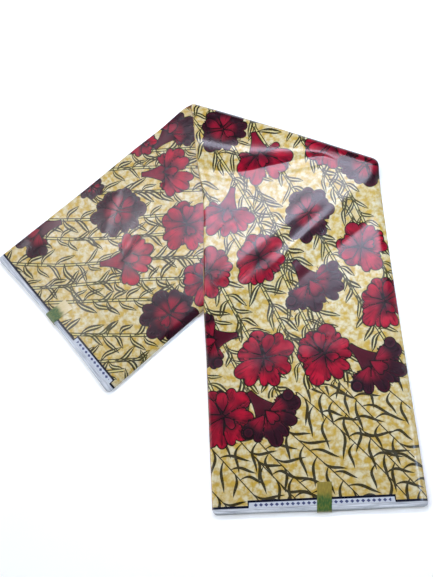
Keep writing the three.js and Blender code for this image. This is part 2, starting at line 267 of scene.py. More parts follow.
def strip(across, level, out):
    """The section carried along the whole strip, as points, the place along it and the way to the
    print's stop. The place along is 0 at the corner, down the right leg, and negative on the left."""
    share = np.linspace(1, 0, LEFT_ROWS + 1)[:, None]
    left_down = mix(left_start(across), left_stop(across), share)
    turn = np.linspace(-1, 1, ROLL_ROWS + 1)[1:-1, None]
    share = np.linspace(0, 1, RIGHT_ROWS + 1)[:, None]
    right_down = mix(right_start(across), right_stop(across), share)
    points = np.concatenate([
        left_point(across, left_down, level, out),
        roll_point(across, turn * math.pi / 2, level, out),
        right_point(across, right_down, level, out),
    ])
    along = np.concatenate([-left_down, across * TAN + LEG_START * turn, right_down])
    to_stop = np.concatenate([
        left_stop(across) - left_down,
        np.full(turn.shape[:1] + across.shape, NO_STOP),
        right_stop(across) - right_down,
    ])
    return points, along, to_stop


def skin_section(depth, cells):
    """The pile's skin, set in by depth: quarter-round lip, face, half-oval closed side, face, lip.
    cells gives how many steps each of the five takes."""
    lip_out, face_out, turn, face_in, lip_in = [np.linspace(0, 1, n + 1) for n in cells]
    quarter = lip_out * math.pi / 2
    half = math.pi / 2 - turn * math.pi
    quarter_in = (1 - lip_in) * math.pi / 2
    across = [
        LIP - (LIP - depth) * np.cos(quarter),
        mix(LIP, STRIP_WIDTH - TURN, face_out),
        STRIP_WIDTH - TURN + (TURN - depth) * np.cos(half),
        mix(STRIP_WIDTH - TURN, LIP, face_in),
        LIP - (LIP - depth) * np.cos(quarter_in),
    ]
    level = [1 + 0 * quarter, 1 + 0 * face_out, 0.5 + 0.5 * np.sin(half), 0 * face_in, 0 * quarter_in]
    out = [
        -(LIP - (LIP - depth) * np.sin(quarter)),
        -depth + 0 * face_out,
        -depth * np.sin(half),
        depth + 0 * face_in,
        LIP - (LIP - depth) * np.sin(quarter_in),
    ]
    return [np.concatenate([part[:-1] for part in parts[:-1]] + parts[-1:]) for parts in (across, level, out)]


def round_the_section(across, level, out):
    """Length of cloth from the outer lip to each point of the section."""
    rise = level * PILE + out
    steps = np.hypot(np.diff(across), np.diff(rise))
    return np.concatenate([[0], np.cumsum(steps)])


# ---- Meshes ----


def stand(name, data, matrix=None):
    """Puts data into the scene under its name, stood by a matrix if one is given."""
    thing = bpy.data.objects.new(name, data)
    if matrix is not None:
        thing.matrix_world = matrix
    bpy.context.scene.collection.objects.link(thing)
    return thing


def mesh_object(name, points, faces, normals=None):
    """A mesh from points in millimetres and arrays of three- or four-cornered faces."""
    mesh = bpy.data.meshes.new(name)
    corners = np.concatenate([f.ravel() for f in faces])
    sizes = np.concatenate([np.full(len(f), f.shape[1]) for f in faces])
    starts = np.concatenate([[0], np.cumsum(sizes)[:-1]])
    mesh.vertices.add(len(points))
    mesh.vertices.foreach_set("co", ((points + FOLD_CORNER) * MM).astype(np.float32).ravel())
    mesh.loops.add(len(corners))
    mesh.loops.foreach_set("vertex_index", corners.astype(np.int32))
    mesh.polygons.add(len(sizes))
    mesh.polygons.foreach_set("loop_start", starts.astype(np.int32))
    mesh.update(calc_edges=True)
    mesh.polygons.foreach_set("use_smooth", np.ones(len(sizes), bool))
    if normals is not None:
        mesh.normals_split_custom_set_from_vertices(normals.astype(np.float32))
    return stand(name, mesh)


def give_attribute(piece, name, values, domain="POINT"):
    """Three numbers for each point or face corner, kept under a name that the materials read."""
    kept = piece.data.attributes.new(name, "FLOAT_VECTOR", domain)
    kept.data.foreach_set("vector", np.ascontiguousarray(values, np.float32).ravel())


def grid_faces(index):
    """Four-cornered faces between neighbouring rows and columns of an array of point numbers."""
    return np.stack([index[:-1, :-1], index[1:, :-1], index[1:, 1:], index[:-1, 1:]], -1).reshape(-1, 4)


def grid_normals(points):
    """The cross product of the two central differences at each point of a grid."""
    along = np.gradient(points, axis=0)
    across = np.gradient(points, axis=1)
    cross = np.cross(along, across)
    return cross / np.maximum(np.linalg.norm(cross, axis=-1, keepdims=True), 1e-9)


def stitched(fine, coarse):
    """Triangles that join a row of points to one with fewer, where each coarse step is even."""
    step = (len(fine) - 1) // (len(coarse) - 1)
    near, far = coarse[:-1], coarse[1:]
    faces = [np.stack([fine[step // 2:-1:step], far, near], -1)]
    for k in range(step):
        pivot = near if k < step // 2 else far
        faces.append(np.stack([fine[k:-1:step], fine[k + 1::step], pivot], -1))
    return np.concatenate(faces)


def volume(points, faces):
    """Six times the volume inside the faces, from tetrahedra to the zero point."""
    total = 0.0
    for f in faces:
        for k in range(1, f.shape[1] - 1):
            a, b, c = points[f[:, 0]], points[f[:, k]], points[f[:, k + 1]]
            total += np.einsum("ij,ij->i", a, np.cross(b, c)).sum()
    return total


# A wall's hidden inner side has fewer points than its outer side.
INNER_STEP = 2  # every second one round the section
INNER_ROW_STEP = 4  # every fourth along the strip


def with_inner(outer):
    """A sheet's numbers at its outer points, and again at the points of its coarser inner side."""
    inner = outer[::INNER_ROW_STEP, ::INNER_STEP]
    return np.concatenate([outer.reshape(-1, 3), inner.reshape(-1, 3)])


def walled_sheet(name, outer, inner, normals):
    """A closed sheet: the fine outer grid, a coarse inner one and stitched rims."""
    rows, columns = outer.shape[:2]
    inner = inner[::INNER_ROW_STEP, ::INNER_STEP]
    inner_normals = -normals[::INNER_ROW_STEP, ::INNER_STEP]
    top = np.arange(rows * columns).reshape(rows, columns)
    under = rows * columns + np.arange(inner.shape[0] * inner.shape[1]).reshape(inner.shape[:2])
    points = np.concatenate([outer.reshape(-1, 3), inner.reshape(-1, 3)])
    rims = np.concatenate([
        stitched(top[0], under[0]),
        stitched(top[-1], under[-1])[:, ::-1],
        stitched(top[:, 0], under[:, 0])[:, ::-1],
        stitched(top[:, -1], under[:, -1]),
    ])
    faces = [grid_faces(top), grid_faces(under)[:, ::-1], rims]
    if volume(points, faces) < 0:
        faces = [f[:, ::-1] for f in faces]
        normals, inner_normals = -normals, -inner_normals
    kept = np.concatenate([normals.reshape(-1, 3), inner_normals.reshape(-1, 3)])
    return mesh_object(name, points, faces, kept)


# ---- The printed pattern, drawn in millimetres of cloth: place round the section and along it ----

ROUND = 648  # cloth round the section, from lip to lip
FACE_SHIFT = 1.7  # a point's place round the cloth, less its place across the upper face
END_SPRAYS = 548  # beyond this the right end has only leaf sprays

# Flowers on the right leg's face, by rows of (across, down, aim in degrees from straight down, radius,
# 1 for wine or 0 for crimson, 1 for seen from the side or 0 for seen from the front).
RIGHT_BLOOMS = [
    (52, 70, 20, 42, 1, 0),
    (106, 84, 10, 50, 0, 1),
    (240, 124, 60, 44, 0, 0),
    (296, 168, 200, 42, 1, 0),
    (56, 180, -18, 48, 0, 1),
    (188, 248, 35, 45, 1, 0),
    (97, 317, 15, 44, 0, 0),
    (274, 316, 80, 42, 0, 0),
    (158, 330, 32, 52, 1, 1),
    (300, 416, 10, 42, 0, 0),
    (8, 330, 50, 42, 0, 0),
    (52, 444, -82, 44, 1, 1),
    (95, 488, 5, 47, 0, 0),
    (192, 492, 40, 45, 0, 0),
    (236, 484, 44, 50, 1, 1),
    (24, 578, 25, 47, 0, 0),
    (68, 544, 36, 49, 1, 1),
]
# The same for the left leg's face.
LEFT_BLOOMS = [
    (25, 102, -173, 45, 1, 1),
    (0, 112, 80, 26, 0, 0),
    (52, 152, 142, 47, 0, 1),
    (78, 228, 30, 45, 1, 0),
    (181, 156, 65, 45, 0, 0),
    (6, 236, 0, 22, 1, 0),
    (22, 318, -24, 48, 1, 1),
    (136, 312, 146, 48, 0, 1),
    (288, 280, 10, 46, 1, 0),
    (284, 196, 100, 42, 0, 0),
]
# The same flowers come again this far round the cloth, on the strip's other half, but for those nearer
# to the open side than the second value: theirs would reach over the closed side.
REPEAT = 325
CLEAR_OF_TURN = 66

# Stems by rows of (start round the cloth, aim from straight down it in degrees, distance apart, bow,
# first and last place along the strip, 1 for the bold sprays of the right end).
STEM_KINDS = [
    (-6, 24, 46, 9, -480, 560, 0),
    (ROUND + 6, -42, 42, 7, -480, 745, 0),
    (-6, 38, 38, 9, 470, 745, 1),
]
STEM_SPAN = REPEAT - 4  # how far round the cloth a stem reaches
STEM_WANDER = 0.02  # how far its aim strays, in radians
# Of a fine stem's leaves and of a bold one's: distance apart, opening from the stem and length.
LEAF_APART = (12, 13)
LEAF_OPENING = ((0.4, 1.0), (0.5, 0.9))
LEAF_LENGTH = ((28, 45), (36, 52))
FINE_LEAF_HALF, BOLD_LEAF_HALF = (3.1, 4.7), 2.2
LEAF_SOLID = 2  # shade from which a leaf has no pale heart


def bloom_rows():
    """All flowers as rows of place round, place along, aim, radius, wine and side, on both faces."""
    rows = []
    faces = ((RIGHT_BLOOMS, FACE_SHIFT, 1, 0), (LEFT_BLOOMS, ROUND - FACE_SHIFT, -1, 180))
    for blooms, start, way, turn in faces:
        for across, down, aim, *kind in blooms:
            at = start + way * across
            repeats = (at, at + way * REPEAT) if across > CLEAR_OF_TURN else (at,)
            rows += [(place, way * down, math.radians(turn + aim), *kind) for place in repeats]
    return rows


def along_and_aside(from_round, from_along, aim):
    """Two steps on the cloth told as the steps along an aim and squarely aside from it."""
    sin, cos = np.sin(aim), np.cos(aim)
    return from_round * sin + from_along * cos, from_round * cos - from_along * sin


BLUNT, SHOULDER = 3.2, 0.45  # powers of a petal's arch: flatness of its tip, roundness beside it
SMALL_TURN = 0.02  # the step that the outline's slope is taken over
STEEPEST = 2.5  # the slope is held to this, because it has no limit in a scallop's notch


def lobe_edge(turn, length, spread, ruffles, depth, phase):
    """Outline of a petal: its length times a blunt arch over the turn, scalloped by the size of a sine."""
    share = np.clip(np.abs(turn) / spread, 0, 0.999)
    arch = (1 - share ** BLUNT) ** SHOULDER
    scallops = np.abs(np.sin(ruffles * turn / spread + phase)) ** 0.6
    return length * arch * (1 - 1.5 * depth + 2 * depth * scallops)


def lobe(along, aside, length, spread, *scallops):
    """Distance into a petal, its radius and its turn about the petal's root. The distance is the
    nearer of those to its scalloped tip and to its straight sides, and is negative outside."""
    radius = np.hypot(along, aside)
    turn = np.arctan2(aside, along)
    edge = lobe_edge(turn, length, spread, *scallops)
    slope = (lobe_edge(turn + SMALL_TURN, length, spread, *scallops) - edge) / SMALL_TURN
    steep = np.sqrt(1 + np.clip(slope / np.maximum(edge, 0.3 * length), -STEEPEST, STEEPEST) ** 2)
    beside = np.abs(turn) - spread
    to_side = -radius * np.sin(np.clip(beside, -math.pi / 2, math.pi / 2))
    outside = -np.hypot(to_side, np.maximum(radius - 0.9 * length, 0))
    return np.where(beside < 0, np.minimum((edge - radius) / steep, to_side), outside), radius, turn


# Petals by rows of (root along, root aside, turn, length, spread, ruffles, depth), in shares of the
# flower's radius; later rows lie on earlier ones.
FRONT_PETALS = [
    (-0.05, 0.00, 180, 1.00, 0.66, 2.6, 0.08),
    (0.00, -0.05, 116, 1.04, 0.76, 3.2, 0.10),
    (0.00, 0.05, 246, 1.00, 0.80, 3.0, 0.10),
    (-0.12, 0.05, 152, 0.70, 0.56, 2.4, 0.08),
    (-0.10, -0.05, 212, 0.76, 0.54, 2.5, 0.08),
    (0.02, 0.00, 58, 1.04, 0.72, 3.6, 0.11),
    (0.02, 0.00, 304, 1.06, 0.70, 3.4, 0.11),
    (0.05, 0.00, 2, 1.00, 0.64, 3.4, 0.12),
    (0.02, 0.00, 22, 0.52, 0.56, 2.4, 0.14),
]
SIDE_PETALS = [
    (0.92, 0.16, 104, 0.62, 0.46, 2.2, 0.10),
    (0.92, -0.16, -100, 0.60, 0.48, 2.2, 0.10),
    (0.86, 0.10, 62, 0.98, 0.62, 2.8, 0.11),
    (0.86, -0.10, -66, 0.94, 0.64, 2.6, 0.11),
    (0.86, 0.02, 26, 1.02, 0.54, 3.0, 0.12),
    (0.84, -0.02, -22, 1.04, 0.58, 3.2, 0.12),
    (0.76, 0.02, 4, 0.58, 0.56, 2.6, 0.10),
]
# Rolled petal tips beside wine flowers seen from the side: along, aside, radius.
SIDE_CURLS = [(0.88, 0.9, 0.18), (0.98, -0.86, 0.16)]
# The rest of a flower, in the same shares.
TUBE_STALK, TUBE_THROAT = 0.1, 0.52  # half widths of a side flower's tube at its two ends
SIDE_MIDDLE = 0.9  # how far down its aim a side flower's middle lies
BLOOM_REACH = 2.1  # everything of a flower lies this near to its middle
FAR = 60.0  # the distance, in millimetres, that stands for no flower near


def paint_petal(art, depth, part, turn, tone):
    """Lays a petal on what is drawn so far. Deep inside, it hides the older lines; the line that is
    nearest, its own or another's beside it, is kept with its sign."""
    inside = depth > 0
    art["edge"] = np.maximum(art["edge"], depth)
    nearer = inside | (-depth < art["gap"])
    art["line"] = np.where(nearer, depth, art["line"])
    art["gap"] = np.where(inside, depth, np.minimum(art["gap"], -depth))
    for key, value in (("part", part), ("turn", turn), ("tone", tone)):
        art[key] = np.where(inside, value, art[key])


def paint_tube(art, along, aside, size, wine):
    """A side flower's tube: it widens by a power of the way from its stalk to its throat."""
    width = size * mix(TUBE_STALK, TUBE_THROAT, np.clip(along / size, 0, 1) ** 1.7)
    depth = np.minimum(width - np.abs(aside), np.minimum(along, size - along) + 2)
    paint_petal(art, depth, 0.35 + 0.22 * wine + 0 * along, 1.5 * aside / width, wine)


def paint_bloom(art, along, aside, size, wine, side, number):
    """One flower, from its tube or back petals to its front ones. Each petal's turn, reach and tone
    stray by sines of its own number and the flower's."""
    if side:
        paint_tube(art, along, aside, size, wine)
    rows = SIDE_PETALS if side else FRONT_PETALS
    for k, (root_along, root_aside, aim, length, spread, ruffles, depth) in enumerate(rows):
        angle = math.radians(aim + 7 * math.sin(2.3 * number + 1.7 * k))
        places = along_and_aside(aside - root_aside * size, along - root_along * size, angle)
        reach = size * length * (1 + 0.07 * math.sin(3.1 * number + 2.4 * k))
        inside, radius, turn = lobe(*places, reach, spread, ruffles, depth, 1.3 * k + number)
        tone = np.clip(wine + 0.12 * math.sin(5 * k + number), 0, 1)
        paint_petal(art, inside, radius / size, turn + 3 * k, tone)
    for root_along, root_aside, curl in SIDE_CURLS if side and wine else []:
        a, b = along - root_along * size, aside - root_aside * size
        radius = np.hypot(a, b)
        paint_petal(art, curl * size - radius, 0.9 - radius / size, np.arctan2(b, a), wine)


def draw_blooms(places_round, places_along):
    """Every flower's petals at the given points of cloth. edge is how deep a point lies inside the
    flowers' outline, line the signed and gap the plain distance to the nearest petal's outline that
    shows, part and turn the place in the petal, and tone goes from crimson (0) to wine (1)."""
    art = {"edge": np.full(places_round.shape, -FAR)}
    art["line"], art["gap"] = art["edge"].copy(), -art["edge"]
    for key in ("part", "turn", "tone"):
        art[key] = np.zeros(places_round.shape)
    for number, (at_round, at_along, aim, size, wine, side) in enumerate(bloom_rows()):
        from_round, from_along = places_round - at_round, places_along - at_along
        middle = SIDE_MIDDLE * size if side else 0
        apart = np.hypot(from_round - middle * math.sin(aim), from_along - middle * math.cos(aim))
        near = apart < BLOOM_REACH * size
        if near.any():
            drawn = {key: value[near] for key, value in art.items()}
            along, aside = along_and_aside(from_round[near], from_along[near], aim)
            paint_bloom(drawn, along, aside, size, wine, side, number)
            for key in art:
                art[key][near] = drawn[key]
    return art


def stem_rows():
    """Stems as rows of start round, start along, aim, length, bow and 1 for bold ones."""
    rows = []
    for start, aim, apart, bow, first, last, bold in STEM_KINDS:
        aim = math.radians(aim)
        step = apart / abs(math.sin(aim))
        length = STEM_SPAN / abs(math.sin(aim))
        first -= length * math.cos(aim)
        for k in range(int((last - first) / step) + 1):
            along = first + step * (k + 0.15 * math.sin(2.1 * k))
            strayed_aim = aim + STEM_WANDER * math.sin(1.7 * k)
            rows.append((start, along, strayed_aim, length, bow * math.sin(0.6 * k + 1), bold))
    return rows


def leaf_rows(stems):
    """Leaves by turns on both sides of each stem: root round, root along, aim, length, half width, bow,
    shade and 1 for bold ones. A few are left out at random."""
    rng = np.random.default_rng(5)
    rows = []
    for start_round, start_along, aim, length, bow, bold in stems:
        kind = int(bold)
        count = int(length / LEAF_APART[kind])
        at = (np.arange(count) + 0.5 + 0.35 * rng.uniform(-1, 1, count)) * LEAF_APART[kind]
        side = np.where(np.arange(count) % 2 == 0, 1, -1)
        off = bow * np.sin(2 * math.pi * at / length)
        root_round = start_round + at * math.sin(aim) + off * math.cos(aim)
        root_along = start_along + at * math.cos(aim) - off * math.sin(aim)
        opened = rng.uniform(*LEAF_OPENING[kind], count)
        size = rng.uniform(*LEAF_LENGTH[kind], count)
        half = np.full(count, BOLD_LEAF_HALF) if kind else rng.uniform(*FINE_LEAF_HALF, count)
        curve = rng.uniform(2, 5, count) * side * rng.choice([-1, 1, 1], count) * (1.6 if kind else 1)
        shade = (LEAF_SOLID if kind else 1) + rng.uniform(0.05, 0.45, count)
        kinds = np.full(count, bold)
        columns = [root_round, root_along, aim + side * opened, size, half, curve, shade, kinds]
        rows.append(np.stack(columns, 1)[rng.uniform(0, 1, count) > 0.08])
    return np.concatenate(rows)


def in_bold_place(places):
    """Where the bold sprays grow: the right end of the outer face."""
    return (places[:, 1] > END_SPRAYS + 0.12 * (160 - places[:, 0])) & (places[:, 0] < REPEAT)


def leaf_frame(points, leaf):
    """A point's place in a leaf: share of its length, and sideways in half widths from its rib, which
    is a parabola with a full sine wave on it."""
    root_round, root_along, aim, length, half, bow, _, _ = np.moveaxis(np.asarray(leaf), -1, 0)
    along, aside = along_and_aside(points[..., 0] - root_round, points[..., 1] - root_along, aim)
    share = along / length
    rib = bow * (4 * share * (1 - share) + 0.35 * np.sin(2 * math.pi * share))
    return share, (aside - rib) / half


def stem_frame(points, stem):
    """A point's place along a stem and its distance aside from the stem's bowed line."""
    start_round, start_along, aim, length, bow, _ = np.moveaxis(np.asarray(stem), -1, 0)
    along, aside = along_and_aside(points[..., 0] - start_round, points[..., 1] - start_along, aim)
    return along, aside - bow * np.sin(2 * math.pi * along / length)


def nearest_leaves(middles, leaves, reach):
    """For each face's middle the nearest leaf and the next one, as row numbers, or -1 beyond reach. The
    distance is the larger of those past the leaf's parabola and past its ends."""
    found = np.full((2, len(middles)), -1)
    closest = np.full((2, len(middles)), reach)
    margin = 60
    low, high = middles.min(0) - margin, middles.max(0) + margin
    bold = in_bold_place(middles)
    order = np.argsort(middles[:, 1])
    sorted_along = middles[order, 1]
    for number, leaf in enumerate(leaves):
        root_round, root_along, _, length, half, _, _, kind = leaf
        if not (low[0] < root_round < high[0] and low[1] < root_along < high[1]):
            continue
        span = length + 6
        first, last = np.searchsorted(sorted_along, [root_along - span, root_along + span])
        some = order[first:last]
        some = some[(np.abs(middles[some, 0] - root_round) < span) & (bold[some] == kind)]
        share, aside = leaf_frame(middles[some], leaf)
        past_side = half * (np.abs(aside) - (1 - (2 * share - 1) ** 2).clip(0))
        far = np.maximum(past_side, length * (np.abs(share - 0.5) - 0.5))
        nearest = far < closest[0, some]
        second = ~nearest & (far < closest[1, some])
        moved = some[nearest]
        found[1, moved], closest[1, moved] = found[0, moved], closest[0, moved]
        found[0, moved], closest[0, moved] = number, far[nearest]
        found[1, some[second]], closest[1, some[second]] = number, far[second]
    return found


def nearest_stems(middles, stems, reach):
    """For each face's middle the stem that it lies nearest to, as a row number, or -1 beyond reach."""
    found = np.full(len(middles), -1)
    closest = np.full(len(middles), reach)
    bold = in_bold_place(middles)
    for number, stem in enumerate(stems):
        length, kind = stem[3], stem[5]
        along, aside = stem_frame(middles, stem)
        far = np.maximum(np.abs(aside), np.abs(along - length / 2) - length / 2)
        nearer = (far < closest) & (bold == kind)
        found[nearer], closest[nearer] = number, far[nearer]
    return found


STEMS = np.array(stem_rows())
LEAVES = leaf_rows(STEMS)
LEAF_REACH, STEM_REACH = 2.6, 6.0  # a face takes up a leaf or a stem that is this near
OFF_LEAF, OFF_STEM = (-1.0, 9.0, 0.0), (0.0, 30.0, 0.0)  # what a face with none near gets


def give_corner_frames(piece, name, found, frames, off):
    """Keeps a frame at the corners of each outer face that found one, and the off frame elsewhere."""
    values = np.tile(off, (len(piece.data.loops), 1))
    values[:len(found) * 4].reshape(-1, 4, 3)[found >= 0] = frames
    give_attribute(piece, name, values, "CORNER")


def print_cloth(piece, places_round, places_along, to_stop):
    """Writes the pattern onto a walled sheet: cloth places and flowers at its points, and at the
    corners of its outer faces the frames of the two nearest leaves and of the nearest stem."""
    cloth = np.stack([places_round, places_along, to_stop], -1)
    give_attribute(piece, "cloth", with_inner(cloth))
    art = draw_blooms(places_round, places_along)
    for name, keys in (("bloom", ("edge", "line", "gap")), ("petal", ("part", "turn", "tone"))):
        give_attribute(piece, name, with_inner(np.stack([art[key] for key in keys], -1)))

    index = np.zeros(len(piece.data.loops), np.int32)
    piece.data.loops.foreach_get("vertex_index", index)
    faces = (cloth.shape[0] - 1) * (cloth.shape[1] - 1)
    corners = cloth.reshape(-1, 3)[index[:faces * 4].reshape(-1, 4), :2]
    middles = corners.mean(1)
    for name, found in zip(("leaf_near", "leaf_next"), nearest_leaves(middles, LEAVES, LEAF_REACH)):
        leaf = LEAVES[found[found >= 0]][:, None, :]
        share, aside = leaf_frame(corners[found >= 0], leaf)
        frames = np.stack([share, aside, np.broadcast_to(leaf[..., 6], share.shape)], -1)
        give_corner_frames(piece, name, found, frames, OFF_LEAF)
    found = nearest_stems(middles, STEMS, STEM_REACH)
    stem = STEMS[found[found >= 0]][:, None, :]
    along, aside = stem_frame(corners[found >= 0], stem)
    frames = np.stack([along, aside, np.broadcast_to(stem[..., 5], along.shape)], -1)
    give_corner_frames(piece, "stem", found, frames, OFF_STEM)


# ---- Finishes ----


def paint(hex_colour):
    """A colour as the shaders take it, from the usual six digits."""
    parts = [int(hex_colour[k:k + 2], 16) / 255 for k in (0, 2, 4)]
    return tuple(c / 12.92 if c <= 0.04045 else ((c + 0.055) / 1.055) ** 2.4 for c in parts) + (1.0,)


class Finish:
    """A material's sums: each call adds one node or a few and gives the output. A colour may be given
    as six digits."""

    def __init__(self, name):
        self.material = bpy.data.materials.new(name)
        self.material.use_nodes = True
        self.tree = self.material.node_tree
        self.shader = self.tree.nodes["Principled BSDF"]

    def put(self, socket, value):
        if isinstance(value, bpy.types.NodeSocket):
            self.tree.links.new(value, socket)
        else:
            socket.default_value = paint(value) if isinstance(value, str) else value

    def add(self, kind, sockets, **settings):
        """A node of a kind, with its settings made and values or outputs put into its sockets."""
        node = self.tree.nodes.new("ShaderNode" + kind)
        for name, value in settings.items():
            setattr(node, name, value)
        for name, value in sockets.items():
            self.put(node.inputs[name], value)
        return node

    def calc(self, operation, *values):
        return self.add("Math", dict(enumerate(values)), operation=operation).outputs[0]

    def chain(self, operation, total, *values):
        for value in values:
            total = self.calc(operation, total, value)
        return total

    def times(self, *values):
        return self.chain("MULTIPLY", *values)

    def plus(self, *values):
        return self.chain("ADD", *values)

    def largest(self, *values):
        return self.chain("MAXIMUM", *values)

    def rest(self, share):
        """What a share leaves of one."""
        return self.calc("SUBTRACT", 1.0, share)

    def away(self, value, middle):
        """How far a value is from a middle one, on either side."""
        return self.calc("ABSOLUTE", self.calc("SUBTRACT", value, middle))

    def rise(self, value, low, high):
        """0 below low, 1 above high and an S-curve between; with low above high it falls instead."""
        sockets = {"Value": value, "From Min": min(low, high), "From Max": max(low, high)}
        sockets |= {"To Min": 0, "To Max": 1} if low < high else {"To Min": 1, "To Max": 0}
        return self.add("MapRange", sockets, interpolation_type="SMOOTHSTEP").outputs["Result"]

    def between(self, value, low, high, soft=0.5):
        """1 from low to high, with an S-curve over each of the two."""
        risen = self.rise(value, low - soft, low + soft)
        return self.times(risen, self.rise(value, high + soft, high - soft))

    def mixed(self, share, first, second):
        node = self.add("Mix", {"Factor": share}, data_type="RGBA")
        colours = [i for i in node.inputs if i.type == "RGBA"]
        self.put(colours[0], first)
        self.put(colours[1], second)
        return [o for o in node.outputs if o.type == "RGBA"][0]

    def attribute(self, name):
        """The three numbers of an attribute, and all of them as one vector."""
        vector = self.add("Attribute", {}, attribute_name=name).outputs["Vector"]
        return (*self.add("SeparateXYZ", {0: vector}).outputs, vector)

    def joined(self, *values):
        return self.add("CombineXYZ", dict(enumerate(values))).outputs[0]

    def scaled(self, *pairs):
        """A place from pairs of a value and its scale: a noise there is drawn out where that is small."""
        return self.joined(*[self.times(value, scale) for value, scale in pairs])

    def noise(self, place, scale=1.0, detail=2.0, rough=0.5):
        sockets = {"Vector": place, "Scale": scale, "Detail": detail, "Roughness": rough}
        return self.add("TexNoise", sockets).outputs["Fac"]

    def cracks(self, place, scale):
        """Distance to the lines between uneven cells."""
        sockets = {"Vector": place, "Scale": scale}
        return self.add("TexVoronoi", sockets, feature="DISTANCE_TO_EDGE").outputs["Distance"]

    def bump(self, height, distance, after=None):
        sockets = {"Strength": 1.0, "Distance": distance, "Height": height}
        if after is not None:
            sockets["Normal"] = after
        return self.add("Bump", sockets).outputs["Normal"]

    def finish(self, colour, roughness, normal=None, fixed=()):
        sockets = {"Base Color": colour, "Roughness": roughness, **dict(fixed)}
        if normal is not None:
            sockets["Normal"] = normal
        for name, value in sockets.items():
            self.put(self.shader.inputs[name], value)
        return self.material


def mottled_gold(f, place):
    """The ground: gold clouded with a paler tone, darker on lines between uneven cells and deeper in
    broad patches."""
    cloud = f.noise(place, 0.1, 1.0)
    grain = f.noise(place, 0.3, 2.0, 0.6)
    pale = f.rise(f.plus(f.times(cloud, 0.72), f.times(grain, 0.28)), 0.36, 0.64)
    gold = f.mixed(pale, "b9993f", "d0c6a2")
    gold = f.mixed(f.times(f.rise(f.cracks(place, 0.075), 0.1, 0.0), 0.25), gold, "98782c")
    return f.mixed(f.times(f.rise(f.noise(place, 0.02), 0.45, 0.7), 0.3), gold, "c2a046")


def leaf_ink(f, name, ragged):
    """Ink and pale heart of a lance-shaped leaf: the outline is a parabola over its length."""
    share, aside, shade, _ = f.attribute(name)
    centred = f.calc("SUBTRACT", f.times(share, 2.0), 1.0)
    arch = f.largest(f.rest(f.times(centred, centred)), 0.0005)
    root = f.times(f.rise(share, 0.3, 0.0), f.rise(share, -0.04, -0.01), 0.24)
    out = f.plus(f.calc("DIVIDE", f.calc("ABSOLUTE", aside), f.plus(arch, root)), ragged)
    inside = f.rise(out, 1.2, 1.0)
    long = f.times(f.rise(share, 0.06, 0.16), f.rise(share, 0.96, 0.86))
    open_leaf = f.rise(shade, LEAF_SOLID - 0.1, LEAF_SOLID - 0.2)
    heart = f.times(inside, f.times(f.rise(out, 0.32, 0.15), open_leaf, long))
    return f.calc("SUBTRACT", inside, heart), heart, shade


def leaf_sprays(f, place, ground):
    """Leaves and stems over the ground. A fine stem is two lines with a pale core, a bold one a single
    line, and bold sprays are nearly black."""
    ragged = f.times(f.calc("SUBTRACT", f.noise(place, 0.45), 0.5), 0.35)
    near_ink, near_heart, near_shade = leaf_ink(f, "leaf_near", ragged)
    next_ink, next_heart, _ = leaf_ink(f, "leaf_next", ragged)
    _, aside, kind, _ = f.attribute("stem")
    off = f.calc("ABSOLUTE", f.plus(aside, f.times(ragged, 1.2)))
    bold = f.rise(kind, 0.4, 0.6)
    fine = f.rest(bold)
    two_lines = f.times(f.rise(f.away(off, 2.2), 1.15, 0.7), fine)
    one_line = f.times(f.rise(off, 1.05, 0.7), bold)
    core = f.times(f.rise(off, 1.8, 1.3), fine)
    ink = f.largest(near_ink, next_ink, two_lines, one_line)
    olive = f.mixed(f.rise(f.noise(place, 0.03, 1.0), 0.45, 0.7), "0d0e05", "2e2e0d")
    olive = f.mixed(f.largest(bold, f.rise(near_shade, LEAF_SOLID - 0.1, LEAF_SOLID)), olive, "0b0b05")
    sprays = f.mixed(f.times(core, 0.55), ground, "c9c17e")
    sprays = f.mixed(f.times(f.largest(near_heart, next_heart), 0.75), sprays, "cfc48a")
    return f.mixed(f.times(ink, 0.93), sprays, olive)


def petal_inks(f, place):
    """Crimson petals darken towards the root and wine ones towards the tip, with streaks from the root."""
    part, turn, tone, _ = f.attribute("petal")
    streaks = f.rise(f.noise(f.scaled((turn, 9.0), (part, 1.6)), 1.0, 3.0, 0.6), 0.54, 0.64)
    fine = f.rise(f.noise(f.scaled((turn, 24.0), (part, 2.4))), 0.55, 0.66)
    crimson = f.mixed(f.rise(f.noise(place, 0.05), 0.35, 0.7), "860722", "b00c2a")
    crimson = f.mixed(f.times(f.rise(part, 0.62, 0.08), 0.85), crimson, "40061e")
    crimson = f.mixed(f.times(streaks, 0.75), crimson, "4c0519")
    wine = f.mixed(f.rise(part, 0.3, 0.66), "8c1028", "2c0a18")
    wine = f.mixed(f.times(streaks, 0.6), wine, "18060e")
    wine = f.mixed(f.times(fine, f.rise(part, 0.8, 0.2), 0.4), wine, "a01830")
    petals = f.mixed(f.rise(tone, 0.25, 0.75), crimson, wine)
    return f.mixed(f.times(fine, f.rise(part, 0.8, 0.3), 0.6), petals, "24040e")


def flowers(f, place, sprays):
    """Flowers over the sprays: a petal is shaded where the next one lies over it, a little darker
    inside its rim, and outlined in ink."""
    depth, line, gap, _ = f.attribute("bloom")
    under = f.times(f.rise(line, 0.2, -0.2), f.rise(gap, 8.0, 0.0), 0.62)
    petals = f.mixed(under, petal_inks(f, place), "22040f")
    petals = f.mixed(f.times(f.rise(line, -0.2, 0.2), f.rise(gap, 5.0, 1.0), 0.25), petals, "5a0a20")
    pattern = f.mixed(f.rise(depth, -0.2, 0.2), sprays, petals)
    outline = f.rise(f.calc("ABSOLUTE", line), 1.15, 0.7)
    outline = f.times(outline, f.rise(gap, 2.6, 2.0), f.rise(depth, -1.3, -0.9))
    return f.mixed(f.times(outline, 0.94), pattern, "10060a")


